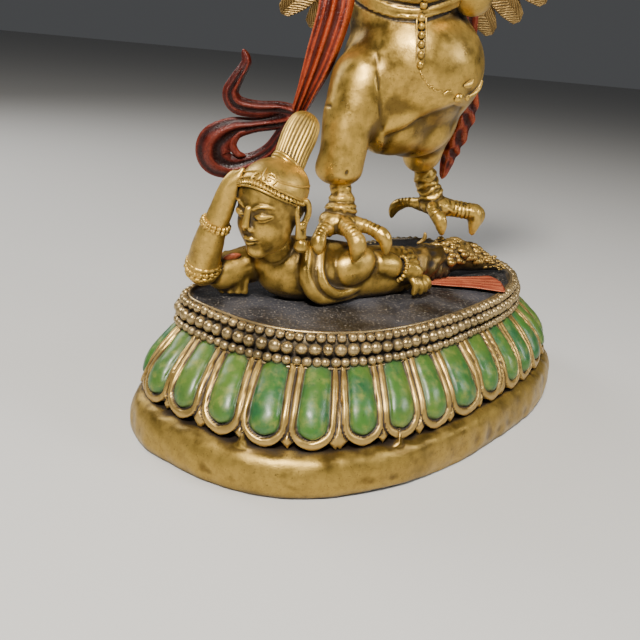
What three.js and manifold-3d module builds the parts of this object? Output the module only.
// A gilt and painted cast Garuda, standing on a reclining serpent woman, on a D-shaped lotus plinth.
// Millimetres, +Z up. The origin is on the plinth's underside, at the middle of its long axis, and the
// Garuda faces -Y.
import * as THREE from "three";
import { mergeVertices } from "three/addons/utils/BufferGeometryUtils.js";
import Module from "manifold-3d";

const wasm = await Module();
wasm.setup();

// Driving dimensions
const plinthLength = 130; // along the top of the footing's bulge
const plinthTop = 30;
const plinthTurn = 43.4; // degrees from +X to the plinth's long axis
// The plan is round in front and flatter behind. A power of 2 is an ellipse and more is squarer, and depth is
// the distance from the long axis for each millimetre of the half-length.
const planFront = { power: 2.53, depth: 0.696 };
const planBackAtTop = { power: 3.97, depth: 0.351 };
const planBackAtFoot = { power: 2.9, depth: 0.437 };
const topReach = 52; // the half-length from which the back opens out towards the footing
const planLeft = 1.014; // the left end reaches a little further
const topShift = 2.4; // the upper rings' offset across the plinth, as cast
const footingProud = 1.2; // the footing's bulge past the nominal length, at each end
const footingHeight = 9.5;
const petalCount = 32;
const petalPhase = 0.25; // the first petal's place past the long axis, in petals
const axisX = 4.5; // the Garuda's own middle plane
const featherWidth = 9;
const featherThickness = 2.2;
const restGap = 0.3; // between the figures and the plinth

const gilt = new THREE.MeshStandardMaterial({ color: 0xb08a3c, roughness: 0.42, metalness: 0.75 });
const greenGilt = new THREE.MeshStandardMaterial({ color: 0x5f8a44, roughness: 0.5, metalness: 0.25 });

const at = (p) => new THREE.Vector3(...p);
const radians = THREE.MathUtils.degToRad;
const mirror = ([x, y, z]) => [2 * axisX - x, y, z];
const mirrorAll = (points) => points.map(mirror);

// A closed three.js geometry as a solid that can be joined and cut.
function solid(geometry) {
  const bare = geometry.clone();
  bare.deleteAttribute("normal");
  bare.deleteAttribute("uv");
  const merged = mergeVertices(bare, 1e-4);
  return new wasm.Manifold(
    new wasm.Mesh({
      numProp: 3,
      vertProperties: merged.attributes.position.array,
      triVerts: new Uint32Array(merged.index.array),
    }),
  );
}

const join = (solids) => wasm.Manifold.union(solids);

// The one outer skin of joined parts, with the pockets that they close off between them filled.
function outerSkin(body) {
  const shells = body.decompose();
  return shells.reduce((largest, shell) => (shell.volume() > largest.volume() ? shell : largest));
}

// A solid as a named mesh.
function mesh(name, body, material) {
  const { vertProperties, triVerts } = body.getMesh();
  const geometry = new THREE.BufferGeometry();
  geometry.setAttribute("position", new THREE.BufferAttribute(vertProperties, 3));
  geometry.setIndex(new THREE.BufferAttribute(triVerts, 1));
  geometry.computeVertexNormals();
  const made = new THREE.Mesh(geometry, material);
  made.name = name;
  return made;
}

// Moves every vertex of a geometry by a rule.
function reshape(geometry, rule) {
  const position = geometry.attributes.position;
  const v = new THREE.Vector3();
  for (let i = 0; i < position.count; i++) {
    v.fromBufferAttribute(position, i);
    rule(v);
    position.setXYZ(i, v.x, v.y, v.z);
  }
  return geometry;
}

// A value read between equally spaced numbers.
function between(values, t) {
  const s = Math.min(Math.max(t, 0), 1) * (values.length - 1);
  const i = Math.min(Math.floor(s), values.length - 2);
  return values[i] + (values[i + 1] - values[i]) * (s - i);
}

// A limb: a round or flattened bar along a smooth line, with its half-widths given from end to end.
// "thick" gives the other half-widths, and "flat" is the direction that they lie in.
function limb(points, radii, { sides = 8, steps = 2 * (points.length - 1), thick, flat } = {}) {
  const path = new THREE.CatmullRomCurve3(points.map(at));
  const side = new THREE.Vector3();
  const across = new THREE.Vector3();
  const bar = new THREE.CylinderGeometry(1, 1, 1, sides, steps);
  const guide = flat ? at(flat) : at([0.31, 0.83, 0.22]);
  reshape(bar, (v) => {
    const t = 0.5 - v.y;
    const tangent = path.getTangent(t);
    side.crossVectors(tangent, guide).normalize();
    across.crossVectors(side, tangent).normalize();
    const wide = between(radii, t);
    const deep = thick ? between(thick, t) : wide;
    const { x, z } = v;
    v.copy(path.getPoint(t)).addScaledVector(side, x * wide).addScaledVector(across, z * deep);
  });
  const made = solid(bar);
  return made.volume() < 0 ? solid(turnedInsideOut(bar)) : made;
}

function turnedInsideOut(geometry) {
  const index = geometry.index.array;
  for (let i = 0; i < index.length; i += 3) [index[i + 1], index[i + 2]] = [index[i + 2], index[i + 1]];
  return geometry;
}

// An egg: an ellipsoid turned by degrees about X, Y and Z.
function egg(centre, radii, turn = [0, 0, 0], across = 12, down = 8) {
  const ball = new THREE.SphereGeometry(1, across, down);
  ball.rotateX(Math.PI / 2);
  ball.scale(...radii);
  ball.rotateX(radians(turn[0]));
  ball.rotateY(radians(turn[1]));
  ball.rotateZ(radians(turn[2]));
  ball.translate(...centre);
  return solid(ball);
}

// The plinth's plan: a point at an angle for a half-length. The upper rings sit a little off centre.
function ovalPoint(reach, angle) {
  const half = plinthLength / 2;
  const shift = topShift * Math.min((half - Math.min(reach, half)) / 13, 1);
  const low = Math.min(Math.max((reach - topReach) / (half + footingProud - topReach), 0), 1);
  const backPower = between([planBackAtTop.power, planBackAtFoot.power], low);
  const backDepth = between([planBackAtTop.depth, planBackAtFoot.depth], low);
  const [c, s] = [Math.cos(angle), Math.sin(angle)];
  const [power, depth] = s > 0 ? [backPower, backDepth] : [planFront.power, planFront.depth];
  const k = (Math.abs(c) ** power + Math.abs(s) ** power) ** (-1 / power);
  return [reach * k * c * (c < 0 ? planLeft : 1), reach * depth * k * s + shift];
}

// The oval as a closed line, to place petals and beads along it at equal spacing.
function ovalLine(reach, z) {
  const count = 72;
  const points = [];
  for (let i = 0; i < count; i++) {
    const [x, y] = ovalPoint(reach, (2 * Math.PI * i) / count);
    points.push(new THREE.Vector3(x, y, z));
  }
  const line = new THREE.CatmullRomCurve3(points, true);
  line.arcLengthDivisions = 720;
  return line;
}

// Footing, sloping wall, beaded band and top in one turned body, pressed to the oval.
function plinthCore() {
  const half = plinthLength / 2;
  const profile = [
    [0, 0],
    [half + footingProud - 0.8, 0],
    [half + footingProud + 0.2, 2.4],
    [half + footingProud - 1.2, 7.4],
    [half - 4.6, footingHeight],
    [half - 9.6, 16],
    [half - 13.4, 23.6],
    [half - 12.4, 25.6],
    [half - 12.8, 28],
    [half - 14, 31],
    [half - 15.6, plinthTop],
    [0, plinthTop],
  ].map(([r, z]) => new THREE.Vector2(r, z));
  const turned = new THREE.LatheGeometry(profile, 48);
  turned.rotateX(Math.PI / 2);
  reshape(turned, (v) => {
    const reach = Math.hypot(v.x, v.y);
    [v.x, v.y] = ovalPoint(reach, Math.atan2(v.y, v.x));
  });
  const made = solid(turned);
  return made.volume() < 0 ? solid(turnedInsideOut(turned)) : made;
}

// One lotus petal: a swelling leaf, broad at the top with its tip down, laid on the slope between two rings.
function petal([highLine, line, lowLine], share, [width, depth, length], detail) {
  const leaf = new THREE.SphereGeometry(1, ...detail);
  reshape(leaf, (v) => {
    const low = (1 - v.y) / 2; // 0 at the top, 1 at the tip
    const ring = Math.hypot(v.x, v.z);
    const fuller = ring > 1e-6 ? ring ** (low < 0.5 ? -0.5 : -0.25) : 1;
    v.set(v.x * fuller * width, -v.z * depth * (0.8 + 0.4 * low), v.y * length);
  });
  const place = line.getPointAt(share);
  const along = line.getTangentAt(share);
  const slope = lowLine.getPointAt(share).sub(highLine.getPointAt(share));
  const outward = new THREE.Vector3(along.y, -along.x, 0);
  leaf.rotateX(-Math.atan2(slope.dot(outward), -slope.z));
  leaf.rotateZ(Math.atan2(along.y, along.x));
  leaf.translate(place.x, place.y, place.z);
  return solid(leaf);
}

function lotusPlinth() {
  const half = plinthLength / 2;
  const rings = [ovalLine(half - 13, 24), ovalLine(half - 8.6, 16.8), ovalLine(half - 3.2, 11)];
  const parts = [plinthCore()];
  for (let i = 0; i < petalCount; i++) {
    parts.push(petal(rings, (i + petalPhase) / petalCount, [5.1, 2.7, 8.3], [6, 4]));
  }
  return outerSkin(join(parts)).rotate([0, 0, plinthTurn]);
}

// The Garuda's trunk, belly, the cloth between the legs, and the legs with the near one's rolled cuff.
function garudaBody() {
  const trunk = [[3, -3, 84], [2.6, -3, 97], [4.5, -3, 108], [4.5, -2, 117], [4.5, -3, 124]];
  const nearLeg = [[-3, -7, 84], [-7.2, -12, 76.5], [-10.2, -14.5, 70], [-10.8, -15.5, 64], [-11.6, -16, 59], [-11.7, -16, 56.9]];
  const farLeg = [[8, -2, 80], [11.5, 1.5, 71], [12.4, 3.5, 65], [12.6, 4.3, 60.5], [13, 4.6, 57.6]];
  return [
    egg([5.5, -4, 83.5], [16.4, 16.5, 15]),
    egg([0.6, -8.5, 74], [10.5, 8.5, 11], [0, 0, 0], 10, 6),
    limb(trunk, [14, 13, 14, 13, 8], { sides: 10, steps: 4 }),
    egg([4, -9, 102.5], [11.5, 10.5, 8.5], [0, 0, 0], 8, 5),
    egg([4.5, -7, 113], [13, 9.5, 7], [0, 0, 0], 8, 5),
    limb(nearLeg, [11, 8.2, 6.5, 5.4, 5.3, 5], { sides: 8, steps: 5 }),
    egg([-11.7, -16, 58.2], [6.2, 6.2, 2.2], [0, 0, 0], 8, 4),
    limb(farLeg, [12, 8.2, 5.8, 5.4, 5], { sides: 8, steps: 4 }),
  ];
}

// The band round the waist, which rises behind, and the string of beads down the belly.
function garudaTrim() {
  const waist = [];
  for (let i = 0; i < 16; i++) {
    const a = (2 * Math.PI * i) / 16;
    const rise = 3 * (1 + Math.sin(a)) + 1.3 * Math.cos(a);
    waist.push(at([2.9 + 14.2 * Math.cos(a), -3.2 + 14.2 * Math.sin(a), 94 + rise]));
  }
  const band = new THREE.TubeGeometry(new THREE.CatmullRomCurve3(waist, true), 16, 1.5, 4, true);
  const string = [[3.2, -16.5, 112], [3.4, -19, 103], [2.6, -16.8, 96], [3.4, -19.4, 88], [4.1, -20.3, 80]];
  return [solid(band), limb(string, [1, 1, 1, 1, 1.2], { sides: 4, steps: 4 })];
}

// A bird's foot: ankle, palm and clawed toes, each with its thickness.
function foot({ ankle, ankleRadii, palm, palmRadii, toes }) {
  return [
    limb(ankle, ankleRadii, { sides: 6, steps: 2 }),
    egg(palm, palmRadii, [0, 0, 0], 6, 4),
    ...toes.map(({ line, size }) => limb(line, [size, size, 0.9 * size, 0.4], { sides: 4, steps: 3 })),
  ];
}

const nearFoot = {
  ankle: [[-11.2, -16.2, 59], [-10.2, -17, 53], [-10.5, -18, 49]],
  ankleRadii: [3.4, 2.9, 4],
  palm: [-10.7, -18.4, 48.4],
  palmRadii: [4.7, 4.2, 2.9],
  toes: [
    { line: [[-12.4, -19, 48.8], [-15, -23, 46.6], [-15.7, -24.6, 44.4], [-15.6, -25, 41.4]], size: 1.6 },
    { line: [[-10.4, -20, 48.8], [-8.4, -24.4, 47.3], [-7, -26.2, 45], [-7.4, -26.2, 41]], size: 2.1 },
    { line: [[-8.4, -19, 48.8], [-3.6, -20.5, 47.8], [-0.2, -22, 46], [0.6, -22.4, 42]], size: 1.7 },
    { line: [[-12, -16, 48.2], [-15, -12.6, 47], [-16.8, -10.6, 45], [-17.2, -10, 41.4]], size: 1.9 },
  ],
};
const farFoot = {
  ankle: [[13.6, 4.6, 59], [15.7, 5, 54], [17.6, 5, 49.6]],
  ankleRadii: [3.6, 3.2, 4],
  palm: [18.6, 4.8, 49],
  palmRadii: [4.4, 4.2, 2.9],
  toes: [
    { line: [[20, 4, 49.2], [25, 3.4, 48.3], [28.8, 3, 47.6], [28.8, 2.6, 42]], size: 2.1 },
    { line: [[20, 6, 49], [26, 6, 48.6], [30.6, 6, 47.4], [31, 5.6, 43.6]], size: 1.9 },
    { line: [[17, 3, 49.6], [16.8, 0.4, 48.4], [18.4, -1.6, 46.3], [19.3, -2.2, 42.6]], size: 1.6 },
    { line: [[16.4, 7.4, 49], [11.6, 10.6, 48.6], [8.2, 12.4, 46.6], [7.4, 12.8, 43]], size: 1.9 },
  ],
};

// Shoulder, elbow and hand of each arm. The near one is held out, the far one close to the belly.
function garudaArms() {
  const far = [[17, -2, 117], [16.4, -8, 107], [15, -12.4, 99.6], [14.6, -16.6, 107], [13, -18.4, 115], [12, -18.6, 119.4]];
  const near = [[-8, -2, 117], [-14.5, -4.5, 112], [-18, -9, 105.6], [-14, -15, 110], [-8.5, -18, 116.5], [-5.6, -18.6, 120.6]];
  const thickness = [6, 5.4, 4.6, 3.9, 3.2, 3.4];
  return [
    limb(far, thickness, { sides: 6, steps: 5 }),
    limb(near, thickness, { sides: 6, steps: 5 }),
    egg([16, -4, 115.5], [7, 6.4, 6.4], [0, 0, 0], 8, 5),
    egg([-7, -4, 115.5], [7, 6.4, 6.4], [0, 0, 0], 8, 5),
  ];
}

// The serpent held in both hands and in the beak.
function heldSerpent() {
  const line = [[17, -21, 108], [13, -21.6, 114], [11.4, -20.6, 121], [8, -21, 127.6], [4.5, -21.4, 128.8], [0.6, -21, 127.6], [-4, -20.6, 123], [-7.6, -21.4, 117], [-12, -20.6, 111]];
  return [limb(line, [0.7, 1.6, 1.8, 1.8, 1.8, 1.8, 1.8, 1.7, 1.4], { sides: 5, steps: 12 }), egg([-12.6, -21.2, 109.4], [2.1, 2.2, 3], [0, 20, 0], 6, 4)];
}

// Head, hooked beak, eyes, ears, horns, crown leaves and flaming crest.
function garudaHead() {
  const parts = [
    limb([[4.5, -3, 119], [4.5, -5, 128]], [9.4, 8.6], { sides: 10, steps: 1 }),
    egg([4.5, -6.5, 134.5], [9.2, 9.6, 9.6], [0, 0, 0], 9, 6),
    limb([[4.5, -11, 135], [4.5, -18, 135.4], [4.5, -23, 132], [4.5, -23, 128]], [5.4, 4, 2.3, 0.5], { sides: 6, steps: 4 }),
    limb([[4.5, -10, 130], [4.5, -18.6, 128]], [3.6, 1.3], { sides: 5, steps: 1 }),
    limb([[4.5, -5, 141], [4.5, -3, 151], [4.5, 0, 159], [4.5, 3, 166]], [6.4, 5.6, 3.6, 0.6], { sides: 6, steps: 3 }),
    limb([[4.5, -13, 140], [4.5, -14.4, 150.4]], [3, 0.5], { sides: 6, steps: 1, thick: [1.4, 0.4], flat: [0, 1, 0] }),
  ];
  const eye = [9.4, -13.4, 137.6];
  const ear = [[13, -6, 136], [16.4, -4, 139.5], [19.2, -3, 145]];
  const horn = [[9, -5, 142], [13, -4, 148], [13.4, -3, 154], [11, -2, 159.4]];
  const brow = [[9.4, -8, 138.6], [13.6, -8.4, 148.6]];
  for (const side of [mirror, (p) => p]) {
    parts.push(egg(side(eye), [2.3, 1.8, 2.3], [0, 0, 0], 5, 4));
    parts.push(limb(ear.map(side), [3, 2.4, 0.5], { sides: 4, steps: 3, thick: [1.8, 1.2, 0.4], flat: [0, 1, 0] }));
    parts.push(limb(horn.map(side), [2.4, 2.1, 1.6, 0.4], { sides: 4, steps: 3 }));
    parts.push(limb(brow.map(side), [3, 0.5], { sides: 4, steps: 1, thick: [1.6, 0.4], flat: [1, 0, 0] }));
  }
  return parts;
}

// One feather: a leaf-shaped blade with a rounded tip, bowed a little along its length.
function feather(base, tip, width = featherWidth) {
  const middle = base.map((v, i) => (v + tip[i]) / 2 + [0, 1.2, -1.2][i]);
  const half = width / 2;
  return limb([base, middle, tip], [half * 0.6, half, half * 0.95, half * 0.3], {
    sides: 4,
    steps: 3,
    thick: [0.5, 0.5, 0.4, 0.25].map((share) => share * featherThickness),
    flat: [0, 1, 0],
  });
}

// A wing: its arm, a fan of long feathers, and two shorter rows that cover their roots.
function wing(side) {
  const long = 8;
  const tipAt = (share, reach) => {
    const turn = radians(-64 + 126 * share);
    return side([15 + reach * 42 * Math.cos(turn), 28 - 8 * share, 127 + reach * 38 * Math.sin(turn)]);
  };
  const arm = [[11, 8, 113], [19, 12, 124], [30, 15, 139], [36, 17, 148]];
  const armLine = new THREE.CatmullRomCurve3(arm.map(at));
  const parts = [limb(arm.map(side), [6, 5, 4, 2], { sides: 6, steps: 3, thick: [5, 4, 3, 1.6], flat: [0, 1, 0] })];
  for (let i = 0; i < long; i++) {
    const share = i / (long - 1);
    parts.push(feather(side(armLine.getPoint(share * 0.96).toArray()), tipAt(share, 1)));
  }
  const row = (count, reach, width, forward) => {
    for (let i = 0; i < count; i++) {
      const share = (i + 0.5) / count;
      const base = armLine.getPoint(share * 0.9).toArray();
      const tip = tipAt(share, reach);
      parts.push(feather(side(base), [tip[0], tip[1] - forward, tip[2]], width));
    }
  };
  row(4, 0.6, 13, 3);
  return parts;
}

// The tail: broad feathers that hang behind.
function tail() {
  const parts = [];
  for (const spread of [-12, -4, 4, 12]) {
    const base = [axisX + spread * 0.35, 10, 92];
    const tip = [axisX + spread * 1.1, 25 - Math.abs(spread) * 0.2, 70 + Math.abs(spread) * 0.3];
    parts.push(feather(base, tip, 10));
  }
  return parts;
}

// The scarf: a pleated fall at the near side with a loop and a flying end, and a shorter fall at the far side.
function scarf() {
  const flat = [0.1, 1, 0.1];
  const ribbon = (points, widths, depth = 1.1) => limb(points, widths, { sides: 4, steps: Math.ceil(1.5 * (points.length - 1)), thick: widths.map((w) => Math.min(depth, w)), flat });
  return [
    ribbon([[-13, -5, 111], [-15.4, -8.5, 103], [-15, -9.4, 95], [-17.6, -8.6, 84], [-20.6, -6.6, 75.4], [-23, -2.6, 68.6]], [3.6, 4.2, 4, 3.5, 2.8, 2.2], 1.5),
    ribbon([[-21.4, -3, 70.6], [-29.3, 0, 71.9], [-35.1, 0.4, 71.9], [-38.3, 0, 75], [-35.8, 0, 78.8], [-33.9, 0, 81.4], [-34.5, 0, 84]], [2, 2.1, 2.4, 2.2, 1.8, 1.3, 0.4]),
    ribbon([[-21.6, -1.6, 69.8], [-28.5, 1, 65.6], [-34, 2, 65.2], [-38.4, 2.6, 62.8], [-39.3, 3, 58.6], [-35.6, 3, 55.4], [-30, 2.6, 57], [-26, 1.6, 61.4], [-22.6, -1, 68]], [1.8, 1.9, 2.3, 4, 4.5, 3.2, 2.6, 2, 1.8]),
    ribbon([[21, 2, 112], [22.6, 3, 98], [23.6, 3.6, 88], [25, 4.6, 79], [23.6, 5.4, 74], [21.8, 6, 67.6], [20.6, 6.4, 63], [19.4, 6.8, 55.5]], [2.6, 3, 3, 3.1, 2.9, 2.7, 2.3, 0.6]),
  ];
}

// The serpent woman: trunk, head on her hand, the other arm along the ground, and the coiled tail.
function serpentWoman() {
  const trunk = [[-29, -23.5, 37], [-22, -21, 37.4], [-12, -18, 36.6], [-2, -14.5, 35.4], [8, -8, 34.8]];
  trunk.push([17, -1, 35], [25, 5.4, 35.4], [32, 8.4, 34], [37.4, 9.2, 32.8], [41.4, 9, 31.6]);
  return [
    limb(trunk, [5.4, 7.6, 7.6, 6.8, 6, 5.6, 5.8, 4.4, 2.6, 0.8], { sides: 7, steps: 9 }),
    limb([[-24.5, -23, 41], [-27, -27, 48]], [4.4, 3.8], { sides: 6, steps: 1 }),
    egg([-27.8, -29.2, 52.8], [7.3, 7.8, 10], [-4, 8, -40], 8, 6),
    egg([-26.2, -27.8, 57.2], [7.9, 8.5, 6.8], [-4, 8, -40], 8, 5),
    limb([[-24.8, -26.6, 60], [-23.2, -24.8, 64.6], [-21.4, -22.4, 69.2], [-20.2, -20.8, 72.6]], [3.4, 3.9, 3.9, 2.2], { sides: 6, steps: 3 }),
    egg([-21.6, -29.4, 49.6], [1.5, 2, 3.8], [0, 8, 0], 6, 4),
    limb([[-26, -19, 37], [-33, -20, 36], [-40.6, -23, 34.6], [-40.8, -25.6, 40], [-38.4, -28, 48], [-36, -29.4, 55.6], [-33.4, -28.6, 62.6]], [4.6, 4.4, 4.3, 3.8, 3, 2.8, 1.2], { sides: 6, steps: 7 }),
    limb([[-15, -21, 38.6], [-8, -22.6, 37], [-0.6, -20.6, 35.8], [5, -17, 34.8], [10, -13.8, 33.6]], [5, 5.3, 4.7, 3.4, 2.5], { sides: 6, steps: 4 }),
    egg([12.6, -13.2, 32.8], [3.3, 2.8, 1.8], [0, 0, -20], 6, 4),
    limb([[-14.6, -20, 44.6], [-14.8, -27, 41.4], [-13.6, -29.4, 35], [-9, -29.4, 31.4], [-3, -26.6, 31.4], [4, -21, 31.8], [11, -15.6, 31.8]], [1.4, 1.5, 1.6, 1.6, 1.5, 1.4, 1.2], { sides: 4, steps: 6 }),
    limb([[12.6, -13.2, 32.4], [15.6, -15.4, 31.4], [16.6, -16, 30.4]], [1.2, 1.2, 0.8], { sides: 4, steps: 1, thick: [2.4, 2.4, 2], flat: [1, -0.8, 0] }),
    limb([[14, -5.6, 31], [24, -4.6, 31], [32.6, -5, 31.2]], [3.2, 4.2, 5.8], { sides: 4, steps: 2, thick: [1, 1, 1.1], flat: [0, 0, 1] }),
  ];
}

function figures() {
  const ground = new THREE.BoxGeometry(200, 200, 40).translate(0, 0, plinthTop + restGap - 20);
  const group = join([
    ...garudaBody(),
    ...garudaTrim(),
    ...foot(nearFoot),
    ...foot(farFoot),
    ...garudaArms(),
    ...heldSerpent(),
    ...garudaHead(),
    ...wing((p) => p),
    ...wing(mirror),
    ...tail(),
    ...scarf(),
    ...serpentWoman(),
  ]);
  return outerSkin(group.subtract(solid(ground)));
}

const statue = new THREE.Group();
statue.name = "garuda_statue";
statue.add(mesh("lotus_plinth", lotusPlinth(), greenGilt));
statue.add(mesh("garuda_and_serpent", figures(), gilt));
export default statue;
